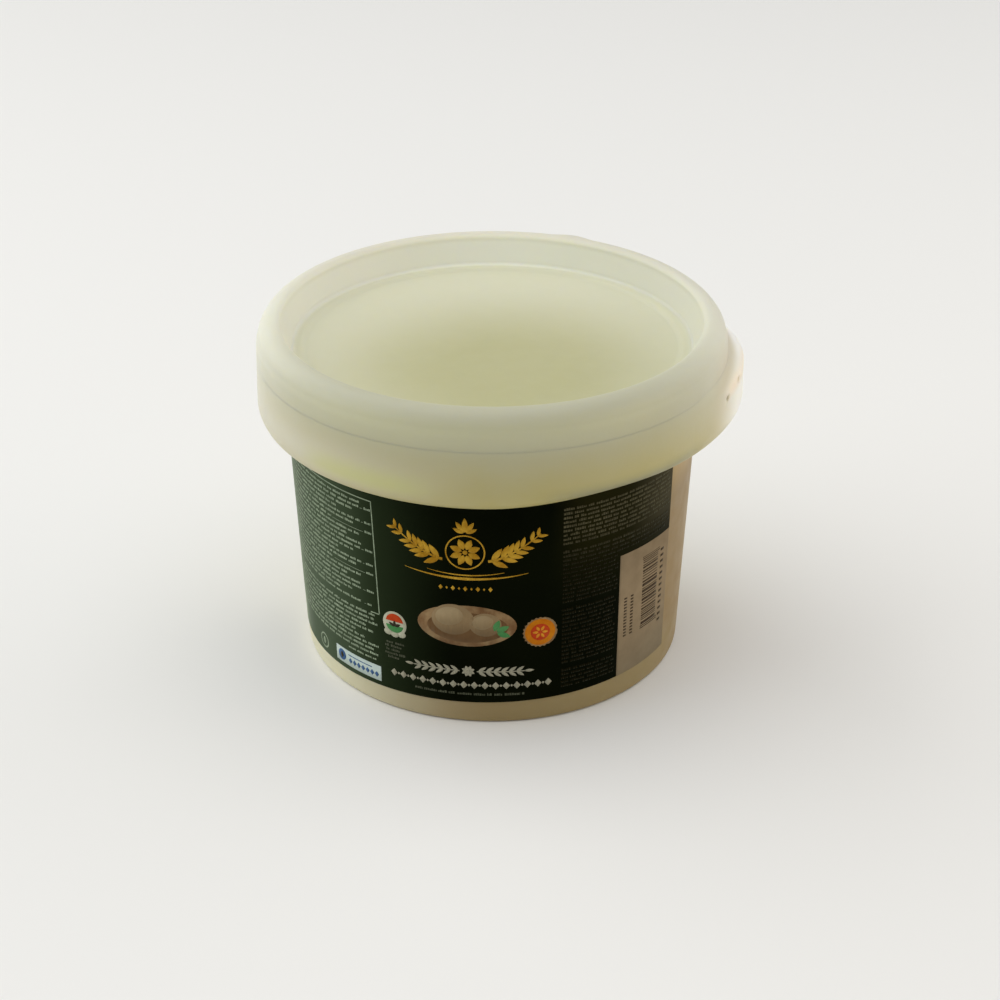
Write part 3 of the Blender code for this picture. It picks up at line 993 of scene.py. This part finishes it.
ornament = {
    "centre": (-7.4, 56.4), "petals": 8, "petalLength": 3.5, "petalWidth": 1.9, "ring": (5.45, 5.05),
    "palmette": ((90, 4.6, 1.6), (57, 4.0, 1.4), (123, 4.0, 1.4), (27, 3.2, 1.2), (153, 3.2, 1.2)),
    "palmetteFoot": (0.5, 0.4), "petalFoot": 0.9, "middle": (0.7, 0.7),
    "branchFoot": (6.2, -2.6), "branchLength": 14.2, "branchRise": 8.0, "branchCurve": 1.5,
    "branchWidths": (0.8, 0.3), "branchSteps": 16, "leafPairs": 7, "leafStart": 0.8,
    "leafLength": 5.2, "leafWidth": 1.8, "leafShrink": 0.45, "leafTurn": 0.7,
    "underV": 48.0, "underWidth": 17.0, "underBow": 1.6, "underThin": 0.14, "underSteps": 24,
    "underLines": ((1.0, 0.0, 0.75), (0.62, 1.15, 0.3)),    # share of the width, rise, thickness
    "dotsV": 44.8, "dots": 9, "dotStep": 1.7, "dotSizes": ((0.6, 0.8), (0.3375, 0.45)),
}


def printOrnament(art):
    # a flower in a ring under a palmette, laurel branches beside it, bows and dots below
    cu, cv = art["centre"]
    outer, inner = art["ring"]
    stampRing("goldInk", (cu, cv), outer, inner, 48)
    for i in range(art["petals"]):
        angle = 2 * math.pi * i / art["petals"] + math.pi / 8
        base = pointAt((cu, cv), art["petalFoot"], angle)
        stampLeaf("goldInk", base, angle, art["petalLength"], art["petalWidth"])
    stampOval("goldInk", (cu, cv), art["middle"], 14)
    for turn, length, width in art["palmette"]:
        angle = math.radians(turn)
        wide, high = art["palmetteFoot"]
        base = (cu + wide * math.cos(angle), cv + outer + high + high * math.sin(angle))
        stampLeaf("goldInk", base, angle, length, width)
    footU, footV = art["branchFoot"]
    thick, thin = art["branchWidths"]
    steps = art["branchSteps"]
    for side in (-1, 1):
        stem = []
        for i in range(steps + 1):
            share = i / steps
            stem.append((cu + side * (footU + art["branchLength"] * share),
                         cv + footV + art["branchRise"] * share ** art["branchCurve"]))
        stampStroke("goldInk", stem, [thick - (thick - thin) * i / steps for i in range(steps + 1)])
        for pair in range(art["leafPairs"]):
            share = (pair + art["leafStart"]) / art["leafPairs"]
            at = min(steps - 1, int(share * steps))
            here, ahead = stem[at], stem[at + 1]
            along = math.atan2(ahead[1] - here[1], ahead[0] - here[0])
            size = 1.0 - art["leafShrink"] * share
            for turn in (art["leafTurn"], -art["leafTurn"]):
                stampLeaf("goldInk", here, along + turn, art["leafLength"] * size, art["leafWidth"] * size)
    for reach, rise, thick in art["underLines"]:
        under, widths = [], []
        for i in range(art["underSteps"] + 1):
            share = 2 * i / art["underSteps"] - 1
            lift = rise + art["underBow"] * share ** 2 * reach
            under.append((cu + art["underWidth"] * reach * share, art["underV"] + lift))
            widths.append(art["underThin"] + thick * (1 - abs(share)))
        stampStroke("goldInk", under, widths)
    for i in range(art["dots"]):
        u = cu + (i - (art["dots"] - 1) / 2) * art["dotStep"]
        stampOval("goldInk", (u, art["dotsV"]), art["dotSizes"][i % 2], 4)


dishPicture = {
    "centre": (-7.2, 32.6), "dish": (13.8, 6.7), "well": (11.2, 4.9), "wellShift": (0.2, -0.5),
    "balls": ((-3.8, 1.9, 5.9, 5.0), (5.2, 0.6, 4.4, 3.8)),    # offset and half sizes
    "shine": (-0.16, 0.2, 0.66, 0.6), "shineTilt": 0.2,    # offset and size, as shares of the ball's
    "leaves": ((8.2, -1.6, 0.45), (8.4, -2.0, -0.35), (7.6, -1.4, 1.2)),    # offset and angle
    "leaf": (3.9, 1.8),
}


def printDish(art):
    # cheese balls on an oval dish, in a few flat tones
    cu, cv = art["centre"]
    stampOval("clothInk", (cu, cv), art["dish"], 44)
    shiftU, shiftV = art["wellShift"]
    stampOval("shadeInk", (cu + shiftU, cv + shiftV), art["well"], 40)
    shineU, shineV, wide, high = art["shine"]
    for u, v, width, height in art["balls"]:
        centre = (cu + u, cv + v)
        stampOval("cheeseInk", centre, (width, height), 36)
        shine = (centre[0] + width * shineU, centre[1] + height * shineV)
        stampOval("creamInk", shine, (width * wide, height * high), 28, art["shineTilt"])
    for u, v, angle in art["leaves"]:
        stampLeaf("greenInk", (cu + u, cv + v), angle, *art["leaf"])


badge = {
    "centre": (-28.2, 29.4), "disc": (3.75, 4.0),
    "scallops": ((-2.1, -3.1), (0.0, -3.45), (2.1, -3.1)), "scallop": (1.35, 1.1),
    "halves": (("redInk", 0.35, (2.8, 2.9), 0.0), ("greenInk", -0.25, (2.8, 2.7), math.pi)),
    "halfGap": 0.12, "leafDrop": 0.9,
    "leaves": ((0.5, 2.1, 1.0), (math.pi - 0.5, 2.1, 1.0), (math.pi / 2, 2.0, 0.9)),
    "lines": (2.8, 3.3, 2.9, 3.3, 2.4), "linesDrop": 6.5, "pitch": 1.25, "height": 0.8,
}


def printBadge(art):
    # pale disc with a scalloped foot, red above and green below, and lines of small print under it
    cu, cv = art["centre"]
    stampOval("paleInk", (cu, cv), art["disc"], 32)
    for u, v in art["scallops"]:
        stampOval("paleInk", (cu + u, cv + v), art["scallop"], 14)
    for ink, lift, radii, start in art["halves"]:
        ends = (start + art["halfGap"], start + math.pi - art["halfGap"])
        stampOval(ink, (cu, cv + lift), radii, 18, 0.0, *ends)
    for angle, length, width in art["leaves"]:
        stampLeaf("duskInk", (cu, cv - art["leafDrop"]), angle, length, width)
    for i, half in enumerate(art["lines"]):
        v = cv - art["linesDrop"] - i * art["pitch"]
        stampLine("mistInk", cu - half, cu + half, v, art["height"])


medal = {
    "centre": (13.1, 30.0), "rim": (4.95, 4.6), "notches": 24, "disc": (4.3, 4.3), "middle": (2.7, 2.7),
    "petals": 6, "petalFoot": 0.5, "petal": (1.7, 0.85),
}


def printMedal(art):
    # dull notched rim, orange ring and a flower on red inside
    notched = [pointAt(art["centre"], art["rim"][i % 2], math.pi * i / art["notches"])
               for i in range(2 * art["notches"])]
    stamp("clothInk", notched)
    stampOval("orangeInk", art["centre"], art["disc"], 36)
    stampOval("redInk", art["centre"], art["middle"], 32)
    for i in range(art["petals"]):
        angle = 2 * math.pi * i / art["petals"]
        stampLeaf("amberInk", pointAt(art["centre"], art["petalFoot"], angle), angle, *art["petal"])


garland = {
    "centre": (-6.8, 17.6), "flower": (1.9, 1.1), "reach": 15.6, "stem": 0.34,
    "petals": 8, "stemStart": 2.4, "leafStart": 2.8, "leafStep": 2.1, "leafPairs": 6,
    "leaf": (2.7, 0.95), "lean": 0.62,
    "chain": {"left": -30.2, "right": 17.0, "v": 12.9, "unit": 2.95, "half": (1.05, 1.25)},
    "bead": (0.32, 0.4),
    "line": (-22.2, 9.0, 9.9, 0.8),    # left, right, height over the base, height of the print
}


def printGarland(art):
    # a flower between two leafy stems, over a chain of lozenges
    cu, cv = art["centre"]
    for i in range(art["petals"]):
        angle = 2 * math.pi * i / art["petals"] + math.pi / 8
        stampLeaf("titleInk", (cu, cv), angle, *art["flower"])
    half = art["stem"] / 2
    for side in (-1, 1):
        left, right = sorted((cu + side * art["stemStart"], cu + side * art["reach"]))
        stampBar("titleInk", left, right, cv - half, cv + half)
        forward = 0.0 if side > 0 else math.pi
        for i in range(art["leafPairs"]):
            foot = (cu + side * (art["leafStart"] + art["leafStep"] * i), cv)
            for lean in (art["lean"], -art["lean"]):
                stampLeaf("titleInk", foot, forward + side * lean, *art["leaf"])
        stampLeaf("titleInk", (cu + side * art["reach"], cv), forward, *art["leaf"])
    chain = art["chain"]
    count = round((chain["right"] - chain["left"]) / chain["unit"])
    for i in range(count):
        u = chain["left"] + chain["unit"] * (i + 0.5)
        stampOval("titleInk", (u, chain["v"]), chain["half"], 4)
        if i + 1 < count:
            stampOval("titleInk", (u + chain["unit"] / 2, chain["v"]), art["bead"], 8)
    stampLine("mistInk", *art["line"])


def inkMaterial(name):
    made, tree, shader, place = startMaterial(name + "Look")
    colour, other, rough, _ = inkLooks[name]
    tone = noiseRange(tree, place, printSet["tone"], 0.0, 1.0, detail=4.0, spread=labelShape["spread"])
    colour = mixColour(tree, tone, colour, other)
    if name in inkFades:
        low, heights = inkFades[name]
        fade = rangeOf(tree, heightAt(tree, place), *heights, smooth=True)
        colour = mixColour(tree, fade, colour, low)
    tree.links.new(colour, shader.inputs["Base Color"])
    spread = printSet["roughSpread"]
    grain = noiseRange(tree, place, printSet["grain"], rough - spread, rough + spread, detail=2.0)
    tree.links.new(grain, shader.inputs["Roughness"])
    addFilmGloss(tree, shader, place, labelShape["inkSheen"])
    return made


def bendInk(name):
    # fold the flat sheet where it goes round the wall, then wrap it
    mesh = inkMeshes[name]
    step = printSet["sliceStep"]
    low = math.floor(min(vert.co.x for vert in mesh.verts) / step)
    high = math.ceil(max(vert.co.x for vert in mesh.verts) / step)
    for i in range(low + 1, high):
        parts = list(mesh.verts) + list(mesh.edges) + list(mesh.faces)
        bmesh.ops.bisect_plane(mesh, geom=parts, dist=0.0001, plane_co=(i * step, 0, 0), plane_no=(1, 0, 0))
    bmesh.ops.dissolve_degenerate(mesh, edges=mesh.edges, dist=0.001)
    lift = inkLooks[name][3] * printSet["levelStep"]
    for vert in mesh.verts:
        vert.co = onLabel(vert.co.x, vert.co.y, lift)
    for face in mesh.faces:
        face.normal_update()
        centre = face.calc_center_median()
        if face.normal.x * centre.x + face.normal.y * centre.y < 0:
            face.normal_flip()
    sheet = keepMesh(name, mesh)
    body = sheet.modifiers.new("ink", "SOLIDIFY")
    body.thickness = printSet["thickness"] * mm
    body.offset = 1.0
    sheet.data.materials.append(inkMaterial(name))
    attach(sheet, "root")


printTextBlock(textBlock)
printRightText(rightText)
printBarPanel(barPanel)
printBox(boxBlock)
printOrnament(ornament)
printDish(dishPicture)
printBadge(badge)
printMedal(medal)
printGarland(garland)
for inkName in inkLooks:
    bendInk(inkName)
print("label print made")


# floor and light

stageSet = {
    "floorSize": 8.0,
    "floorColour": (0.84, 0.84, 0.83),
    "floorRoughness": 0.7,
    "skyColour": (1.0, 0.99, 0.97),
    "skyStrength": 0.38,
    "aimHeight": 0.06,     # the lamps point at the tub's middle
    "lamps": (    # name, place, size, watts, colour
        ("window", (-1.3, 0.3, 0.85), (2.4, 1.8), 19.0, (1.0, 1.0, 0.98)),
        ("overhead", (0.0, -0.1, 1.3), (1.6, 1.4), 6.8, (1.0, 1.0, 0.99)),
        ("rightSky", (1.2, 0.45, 0.7), (1.6, 1.2), 5.4, (1.0, 0.99, 0.97)),
        ("warmFill", (0.9, -0.3, 0.25), (0.6, 0.4), 1.3, (1.0, 0.80, 0.58)),
    ),
}


def makeStage(settings):
    half = settings["floorSize"] / 2
    mesh = bmesh.new()
    corners = ((-1, -1), (1, -1), (1, 1), (-1, 1))
    mesh.faces.new([mesh.verts.new((x * half, y * half, tubLow.z)) for x, y in corners])
    floor = keepMesh("floor", mesh)
    made, _, shader, _ = startMaterial("floorPaper")
    shader.inputs["Base Color"].default_value = (*settings["floorColour"], 1.0)
    shader.inputs["Roughness"].default_value = settings["floorRoughness"]
    floor.data.materials.append(made)
    world = bpy.data.worlds.new("softSky")
    world.use_nodes = True
    sky = world.node_tree.nodes["Background"]
    sky.inputs["Color"].default_value = (*settings["skyColour"], 1.0)
    sky.inputs["Strength"].default_value = settings["skyStrength"]
    bpy.context.scene.world = world
    for name, spot, size, watts, colour in settings["lamps"]:
        data = bpy.data.lights.new(name, "AREA")
        data.shape = "RECTANGLE"
        data.size, data.size_y = size
        data.energy = watts
        data.color = colour
        light = placeObject(name, data)
        light.location = spot
        aim = -light.location
        aim.z += settings["aimHeight"]
        light.rotation_euler = aim.to_track_quat("-Z", "Y").to_euler()


makeStage(stageSet)
bpy.context.scene.view_settings.view_transform = "Standard"
print("floor and light set")
